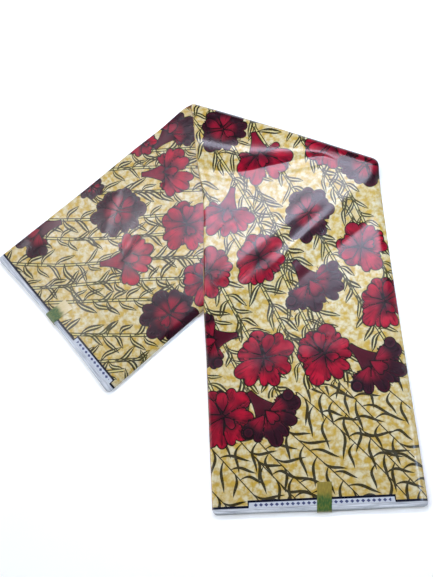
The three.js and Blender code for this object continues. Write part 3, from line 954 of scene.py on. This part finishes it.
# The white panel at each end, by its two sides' places round the cloth.
RIGHT_PANEL = (57.5, 274.5)
LEFT_PANEL = (336, 434)
PANEL_DEPTH = 8.0  # how far it reaches into the print
PANEL_RIM = 5.5  # from its sides to its lozenges
PANEL_FACE = 300  # place along either leg past which it is looked for
LOZENGES_PER_MM = 0.125
LOZENGE_ROW = 4.2  # from the print's stop to the middle of the row
# Where the navy rule's ink is gone and where it is full: at its inner side, and at the sides and the
# inner ends of its two posts beside the panel.
RULE_SIDE, POST_SIDE, POST_END = (3.9, 3.3), (1.9, 1.5), (11.7, 11.3)


def end_of_print(f, pattern, around, along, to_stop):
    """A navy rule closes the print and steps round a white panel with plain lozenges at each end. A
    lozenge is where the shares of its half length and half width add up to less than a limit."""
    upper = f.rise(around, REPEAT + 4, REPEAT + 2)
    right_face = f.times(upper, f.rise(along, PANEL_FACE, PANEL_FACE + 1))
    left_face = f.times(f.rest(upper), f.rise(along, -PANEL_FACE, -PANEL_FACE - 1))
    panel, middle, posts = 0.0, 0.0, 0.0
    for face, (low, high) in ((right_face, RIGHT_PANEL), (left_face, LEFT_PANEL)):
        panel = f.plus(f.times(f.between(around, low, high), face), panel)
        middle = f.plus(f.times(f.between(around, low + PANEL_RIM, high - PANEL_RIM), face), middle)
        for side in (low, high):
            posts = f.plus(f.times(f.rise(f.away(around, side), *POST_SIDE), face), posts)
    beyond = f.calc("SUBTRACT", to_stop, f.times(panel, PANEL_DEPTH))
    rule = f.largest(f.rise(beyond, *RULE_SIDE), f.times(posts, f.rise(to_stop, *POST_END)))
    bare = f.rise(beyond, 0.3, -0.1)
    pattern = f.mixed(bare, f.mixed(rule, pattern, "0c1226"), "c0c4ca")
    wide = f.away(f.calc("FRACT", f.times(around, LOZENGES_PER_MM)), 0.5)
    tall = f.times(f.away(to_stop, LOZENGE_ROW), 0.14)
    lozenge = f.times(f.rise(f.plus(wide, tall), 0.42, 0.36), bare, middle)
    return f.mixed(f.times(lozenge, 0.9), pattern, "141f5c")


def printed_cloth():
    """Waxed cotton: mottled gold ground, inked leaf sprays, and crimson and wine flowers over them. It
    is glossy, softly creased and finely woven."""
    f = Finish("printed_cloth")
    around, along, to_stop, _ = f.attribute("cloth")
    place = f.joined(around, along)
    pattern = flowers(f, place, leaf_sprays(f, place, mottled_gold(f, place)))
    pattern = end_of_print(f, pattern, around, along, to_stop)
    crease = f.noise(f.scaled((around, 0.02), (along, 0.006)), 1.0, 3.0, 0.55)
    ripple = f.noise(place, 0.03, 3.0, 0.55)
    normal = f.bump(f.plus(crease, f.times(ripple, 0.8)), 0.0012)
    normal = f.bump(f.noise(place, 0.9), 0.00012, normal)
    rough = f.plus(0.18, f.times(f.noise(place, 0.04, 3.0, 0.6), 0.12))
    gloss = {"Specular IOR Level": 0.22, "Coat Weight": 0.32, "Coat Roughness": 0.15}
    return f.finish(pattern, rough, normal, gloss)


def woven_edge():
    """Unprinted selvedge: white, with grey streaks of painted shade between the stacked plies and a little
    soil.
    """
    f = Finish("woven_edge")
    around, along, height, place = f.attribute("cloth")
    streak = f.noise(f.scaled((around, 0.02), (along, 1.1), (height, 2.0)), 1.0, 3.0, 0.6)
    soil = f.noise(f.scaled((around, 0.05), (along, 0.1)))
    # Painted shade: the grey streaks change fast with height and with depth in from the end, and stand for
    # shade between the ply ends.
    white = f.mixed(f.rise(streak, 0.42, 0.62), "d0d3d6", "8d9298")
    white = f.mixed(f.times(f.rise(soil, 0.5, 0.7), 0.45), white, "8b8f94")
    normal = f.bump(f.noise(place, 1.4), 0.00015)
    return f.finish(white, f.plus(0.5, f.times(soil, 0.15)), normal, {"Sheen Weight": 0.1})


def inner_plies():
    """The pile's folded edges: print seen edge on, drawn out along the strip."""
    f = Finish("inner_plies")
    around, along, _, _ = f.attribute("cloth")
    patch = f.noise(f.scaled((around, 0.5), (along, 0.022)), 1.0, 3.0, 0.6)
    ply = f.noise(f.scaled((around, 1.6), (along, 0.012)))
    colour = f.mixed(f.rise(patch, 0.42, 0.58), "b89342", "6d0c22")
    colour = f.mixed(f.rise(ply, 0.5, 0.7), colour, "1d1410")
    rough = f.plus(0.4, f.times(patch, 0.15))
    return f.finish(colour, rough, f.bump(ply, 0.0003), {"Sheen Weight": 0.06})


def band_film(name, inner):
    """Plain film, a little uneven: its inner end in one colour, then green, then olive over the end."""
    f = Finish(name)
    share, _, _, place = f.attribute("cloth")
    wave = f.times(f.calc("SUBTRACT", f.noise(place, 3.0), 0.5), 0.3)
    at = f.plus(share, wave)
    green = f.times(f.rise(at, 0.25, 0.5), f.rise(at, 0.95, 0.75))
    colour = f.mixed(green, f.mixed(f.rise(at, 0.2, 0.6), inner, "7a6c22"), "2c5420")
    colour = f.mixed(f.times(f.rise(f.noise(place, 8.0), 0.4, 0.7), 0.25), colour, "b3a13c")
    return f.finish(colour, f.plus(0.3, f.times(wave, 0.3)), None, {"Coat Weight": 0.2})


# ---- The pieces ----

BODY = "root"


def placed(piece, node, material):
    """Puts a finish on a piece, which rides on the one body and stands for its node."""
    piece.data.materials.append(material)
    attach(piece, BODY)
    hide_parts(node)
    return piece


def cloth_piece(name, node, first, last, cells, material):
    """One stretch of the outermost ply, from a first to a last row of the whole strip."""
    section = skin_section(0, cells)
    points, along, to_stop = strip(*section)
    inner, _, _ = strip(*skin_section(PLY, cells))
    normals = grid_normals(points)
    rows = slice(first, last + 1)
    piece = walled_sheet(name, points[rows], inner[rows], normals[rows])
    round_at = np.broadcast_to(round_the_section(*section), along.shape)
    print_cloth(piece, round_at[rows], along[rows], to_stop[rows])
    return placed(piece, node, material)


def swept_solid(name, rings, marks, sharp):
    """Closed rings joined in turn, with a fan from each end ring's middle; marks are kept as an
    attribute, three numbers a point. Edges sharper than the given degrees stay crisp."""
    count, around = rings.shape[:2]
    index = np.arange(count * around).reshape(count, around)
    wrapped = np.concatenate([index, index[:, :1]], 1)
    points = np.concatenate([rings.reshape(-1, 3), rings[:1].mean(1), rings[-1:].mean(1)])
    kept = np.concatenate([marks.reshape(-1, 3), marks[:1].mean(1), marks[-1:].mean(1)])
    ends = [(wrapped[0], count * around, -1), (wrapped[-1], count * around + 1, 1)]
    fans = [
        np.stack([ring[:-1], ring[1:], np.full(around, middle)], -1)[:, ::way]
        for ring, middle, way in ends
    ]
    faces = [grid_faces(wrapped), np.concatenate(fans)]
    if volume(points, faces) < 0:
        faces = [f[:, ::-1] for f in faces]
    piece = mesh_object(name, points, faces)
    piece.data.set_sharp_from_angle(angle=math.radians(sharp))
    give_attribute(piece, "cloth", kept)
    return piece


PLY_FOLDS = PLIES - 2  # folded plies whose round edges show along the open side
PLY_POINTS = 6  # round each of them
PLY_DEEPEST, PLY_BULGE = 1.9, 1.7  # how far in their notches lie, and how far they stand out of them
PLY_WANDER = 0.8  # how far they waver along the strip
PLY_MARK = 400  # their cloth places start here, clear of the body's own


def inner_pile(material):
    """The plies between the outermost ones: a body that ends in round ply edges on its open side,
    each half an oval that stands out by its own wavering amount."""
    across, level, out = skin_section(PLY + GAP, (3, 18, 10, 18, 3))
    share = np.linspace(0, 1, PLY_FOLDS * PLY_POINTS + 1)[1:-1]
    number = np.floor(share * PLY_FOLDS)
    oval = np.sqrt(np.clip(1 - (2 * ((share * PLY_FOLDS) % 1) - 1) ** 2, 0, 1))
    edge = PLY_DEEPEST - PLY_BULGE * oval + 0.5 * np.sin(2.4 * number)
    edge_out = (LIP + 0.6) * (1 - 2 * share)
    section = [np.concatenate(pair) for pair in ((across, edge), (level, share), (out, edge_out))]
    body, along, _ = strip(*section)
    moved, _, _ = strip(edge + 1, share, edge_out)
    edges = body[:, -len(share):]
    wander = PLY_WANDER * np.sin(along[:, -len(share):] / (70 + 9 * (number % 5)) + 1.9 * number)
    edges += (moved - edges) * wander[..., None]
    marks = np.concatenate([across, PLY_MARK + number])
    marks = np.stack([np.broadcast_to(marks, along.shape), along, 0 * along], -1)
    piece = swept_solid("inner_pile", body[::2], marks[::2], 40)
    return placed(piece, "hidden_layers", material)


# Across the strip, the places that round a selvedge's corners, from either side.
CORNER_STEPS = np.array([0, 0.4, 1, 2, 3, 4.5, 6])
SELVEDGE_NOTCH, SELVEDGE_EDGE = 3.4, 1.4  # how far in the notches and the ply ends lie
SELVEDGE_ROUND = 0.35  # how far the rims of a ply's end lie behind its middle


def selvedge(name, node, end, stop, point, material, seed):
    """Sixteen thin ply ends, each a notch and a rounded edge that stands out by its own amount and
    wanders across the strip; the corners are rounded and the closed side's plies turn in."""
    rng = np.random.default_rng(seed)
    even = np.linspace(0, STRIP_WIDTH, 241)
    across = np.unique(np.concatenate([CORNER_STEPS, even, STRIP_WIDTH - CORNER_STEPS]))
    width = end(across) - stop(across) - GAP
    to_side = np.minimum(across, STRIP_WIDTH - across)
    rounding = 1 - np.sqrt(1 - (1 - np.minimum(to_side / CORNER, 1)) ** 2)
    turned = np.clip((across - (STRIP_WIDTH - TURN)) / TURN, 0, 0.985)
    opened = 1 - 0.3 * np.clip(1 - across / LIP, 0, 1)
    stand = np.sqrt(1 - turned ** 2) * opened

    # The section from level 1 down, by rows of (level, how far in from the end).
    rows = [(1, width), (1, 3)]
    for ply in range(PLIES):
        top, low = 1 - ply / PLIES, 1 - (ply + 0.8) / PLIES
        out = rng.uniform(-1.1, 0.9) + 0.35 * np.sin(across / rng.uniform(30, 70) + rng.uniform(0, 6))
        face = SELVEDGE_EDGE - out
        rows += [(top, face + SELVEDGE_ROUND), (mix(top, low, 0.3), face)]
        rows += [(mix(top, low, 0.7), face), (low, face + SELVEDGE_ROUND)]
        if ply < PLIES - 1:
            rows.append((1 - (ply + 0.9) / PLIES, SELVEDGE_NOTCH))
    rows += [(0, 4), (0, width)]
    share, inside = [np.stack([value + 0 * across for value in column], 1) for column in zip(*rows)]
    kept = mix(inside, width[:, None], 0.75 * rounding[:, None])
    at = across[:, None]
    rings = point(at, end(at) - kept, 0.5 + (share - 0.5) * stand[:, None], 0)
    marks = np.stack([np.broadcast_to(at, share.shape), kept, share * PILE], -1)
    piece = swept_solid(name, rings, marks, 30)
    return placed(piece, node, material)


def band_path(lift, reach):
    """Rows of inside, face and lift: over the upper face, round the end and down it."""
    return np.array([
        (reach, 1, lift),
        (reach / 2, 1, lift),
        (2.5, 1, lift),
        (0.9 - lift / 2, 0.98, lift / 2),
        (-BAND_DROP - lift, 0.82, 0),
        (-BAND_DROP - lift, 0.06, 0),
    ])


def along_path(path, count):
    """Evenly spaced points on a path of straight stretches, in the plane of the section."""
    steps = np.hypot(np.diff(path[:, 0]), np.diff(path[:, 1] * PILE + path[:, 2]))
    at = np.concatenate([[0], np.cumsum(steps)])
    even = np.linspace(0, at[-1], count)
    return np.stack([np.interp(even, at, path[:, k]) for k in range(3)], 1)


BAND_COLUMNS, BAND_ROWS = 25, 41


def end_band(name, node, middle, slant, reach, end, point, upper, material):
    """A thin film laid over the end of a leg: its path, carried across its width, with a wall."""
    width = np.linspace(-0.5, 0.5, BAND_COLUMNS)[:, None]

    def surface(lift):
        inside, face, lifted = along_path(band_path(lift, reach), BAND_ROWS).T
        across = middle + width * BAND_WIDTH + slant * inside
        level = face if upper else 1 - face
        return point(across, end(across) - inside, level, lifted if upper else -lifted)

    outer, inner = surface(GAP + BAND_WALL), surface(GAP)
    piece = walled_sheet(name, outer, inner, grid_normals(outer))
    steps = np.broadcast_to(np.linspace(0, 1, BAND_ROWS), outer.shape[:2])
    marks = np.stack([steps, np.broadcast_to(width, steps.shape), 0 * steps], -1)
    give_attribute(piece, "cloth", with_inner(marks))
    return placed(piece, node, material)


cotton, edging = printed_cloth(), woven_edge()
left_leg = cloth_piece("left_leg", "left_leg_ply", 0, FOLD_FIRST, (4, 60, 16, 160, 4), cotton)
fold_turn = cloth_piece("fold_turn", "fold_turn_ply", FOLD_FIRST, FOLD_LAST, (4, 160, 16, 44, 4), cotton)
right_leg = cloth_piece("right_leg", "right_leg_ply", FOLD_LAST, ALL_ROWS, (4, 160, 16, 44, 4), cotton)
pile = inner_pile(inner_plies())
selvedge("left_selvedge", "left_selvedges", left_end, left_stop, left_point, edging, 3)
selvedge("right_selvedge", "right_selvedges", right_end, right_stop, right_point, edging, 8)
end_band("left_band", "left_end_band", 153, 0.05, 40, left_end, left_point, False,
         band_film("left_film", "cdbb8e"))
end_band("right_band", "right_end_band", 168, 0.1, 43, right_end, right_point, True,
         band_film("right_film", "85742a"))

# ---- Floor, lights and camera ----


FLOOR_HALF = 60.0  # metres, so that its far edge doesn't show low over the cloth
FLOOR_GLOW = 0.12


def pale_floor():
    """A seamless pale floor that glows a little, with the faintest clouding."""
    mesh = bpy.data.meshes.new("floor")
    corners = [(x * FLOOR_HALF, y * FLOOR_HALF, 0) for x, y in ((-1, -1), (1, -1), (1, 1), (-1, 1))]
    mesh.from_pydata(corners, [], [(0, 1, 2, 3)])
    f = Finish("floor")
    cloud = f.noise(f.add("TexCoord", {}).outputs["Object"], 0.7)
    glow = {"Emission Color": (1, 1, 1, 1), "Emission Strength": FLOOR_GLOW}
    rough = f.plus(0.8, f.times(cloud, 0.1))
    mesh.materials.append(f.finish(f.mixed(cloud, "fdfdfd", "ffffff"), rough, None, glow))
    stand("floor", mesh)


SKY_WHITE = (0.9, 0.95, 1.0)


def soft_light(name, place, aim, size, watts, colour=SKY_WHITE, spread=180):
    """A rectangular light of two sides' lengths at a place in metres. It faces the point that it is
    aimed at and spreads over an angle in degrees."""
    data = bpy.data.lights.new(name, "AREA")
    data.shape = "RECTANGLE"
    data.size, data.size_y = size
    data.energy = watts
    data.color = colour
    data.spread = math.radians(spread)
    way = (Vector(aim) - Vector(place)).to_track_quat("-Z", "Y").to_matrix().to_4x4()
    stand(name, data, Matrix.Translation(place) @ way)


def daylight(way, width, strength):
    """A broad sun, as wide as an angle in degrees, from the side that a way points to: it lights the
    cloth and the whole floor evenly."""
    data = bpy.data.lights.new("daylight", "SUN")
    data.energy = strength
    data.angle = math.radians(width)
    data.color = SKY_WHITE
    stand("daylight", data, Vector(way).to_track_quat("Z", "Y").to_matrix().to_4x4())


HORIZON_HEIGHT = 0.15  # how high the pale part of the room reaches
HORIZON_LIGHT, SKY_LIGHT = 0.6, 0.06


def room():
    """A white world, pale low down and dim overhead, where the glossy cloth mirrors it."""
    world = bpy.data.worlds.new("studio")
    world.use_nodes = True
    nodes, links = world.node_tree.nodes, world.node_tree.links
    way = nodes.new("ShaderNodeTexCoord")
    split = nodes.new("ShaderNodeSeparateXYZ")
    sky = nodes.new("ShaderNodeMapRange")
    sky.inputs["From Max"].default_value = HORIZON_HEIGHT
    sky.inputs["To Min"].default_value = HORIZON_LIGHT
    sky.inputs["To Max"].default_value = SKY_LIGHT
    links.new(way.outputs["Generated"], split.inputs[0])
    links.new(split.outputs["Z"], sky.inputs["Value"])
    links.new(sky.outputs["Result"], nodes["Background"].inputs["Strength"])
    nodes["Background"].inputs["Color"].default_value = (1, 1, 1, 1)
    bpy.context.scene.world = world


CAMERA_PLACE = (0.2273, -0.5372, 1.4140)
CAMERA_RIGHT = Vector((0.9870, -0.0549, -0.1514))
CAMERA_UP = Vector((0.1053, 0.9314, 0.3484))
CAMERA_LENS = 56.75


def camera():
    """The camera's three axes are made square: its right, then up cleared of right, then back."""
    data = bpy.data.cameras.new("camera")
    data.sensor_width = 36
    data.lens = CAMERA_LENS
    data.clip_start = 0.05
    right = CAMERA_RIGHT.normalized()
    up = (CAMERA_UP - right * CAMERA_UP.dot(right)).normalized()
    turn = Matrix((right, up, right.cross(up))).transposed().to_4x4()
    bpy.context.scene.camera = stand("camera", data, Matrix.Translation(CAMERA_PLACE) @ turn)


pale_floor()
soft_light("sheen", (0.13, 0.92, 1.75), (0.13, 0.1, 0), (0.78, 0.38), 15.5, (0.78, 0.8, 1.0))
soft_light("strip", (0.13, 1.19, 1.75), (0.13, 0.3, 0), (0.7, 0.05), 3, (0.9, 0.88, 1.0))
soft_light("window", (-0.525, 0.985, 1.75), (-0.525, 0.1, 0), (0.05, 0.36), 2.8, (0.93, 0.9, 1.0))
soft_light("far_window", (-0.76, 0.82, 1.75), (-0.76, 0.0, 0), (0.045, 0.52), 2.2, (0.93, 0.92, 1.0))
soft_light("pool", (0.85, -0.1, 1.3), (0.21, 0.1, 0), (0.3, 0.3), 1.1, (0.6, 0.76, 1.0), 50)
soft_light("right_side", (2.3, 0.2, 1.5), (0, 0, 0), (1.3, 1.4), 12)
soft_light("front", (-0.6, -2.2, 1.7), (0, 0, 0), (2.0, 1.0), 9)
daylight((-1.0, 0.1, 0.95), 50, 1.8)
camera()
room()
bpy.context.scene.view_settings.view_transform = "Standard"
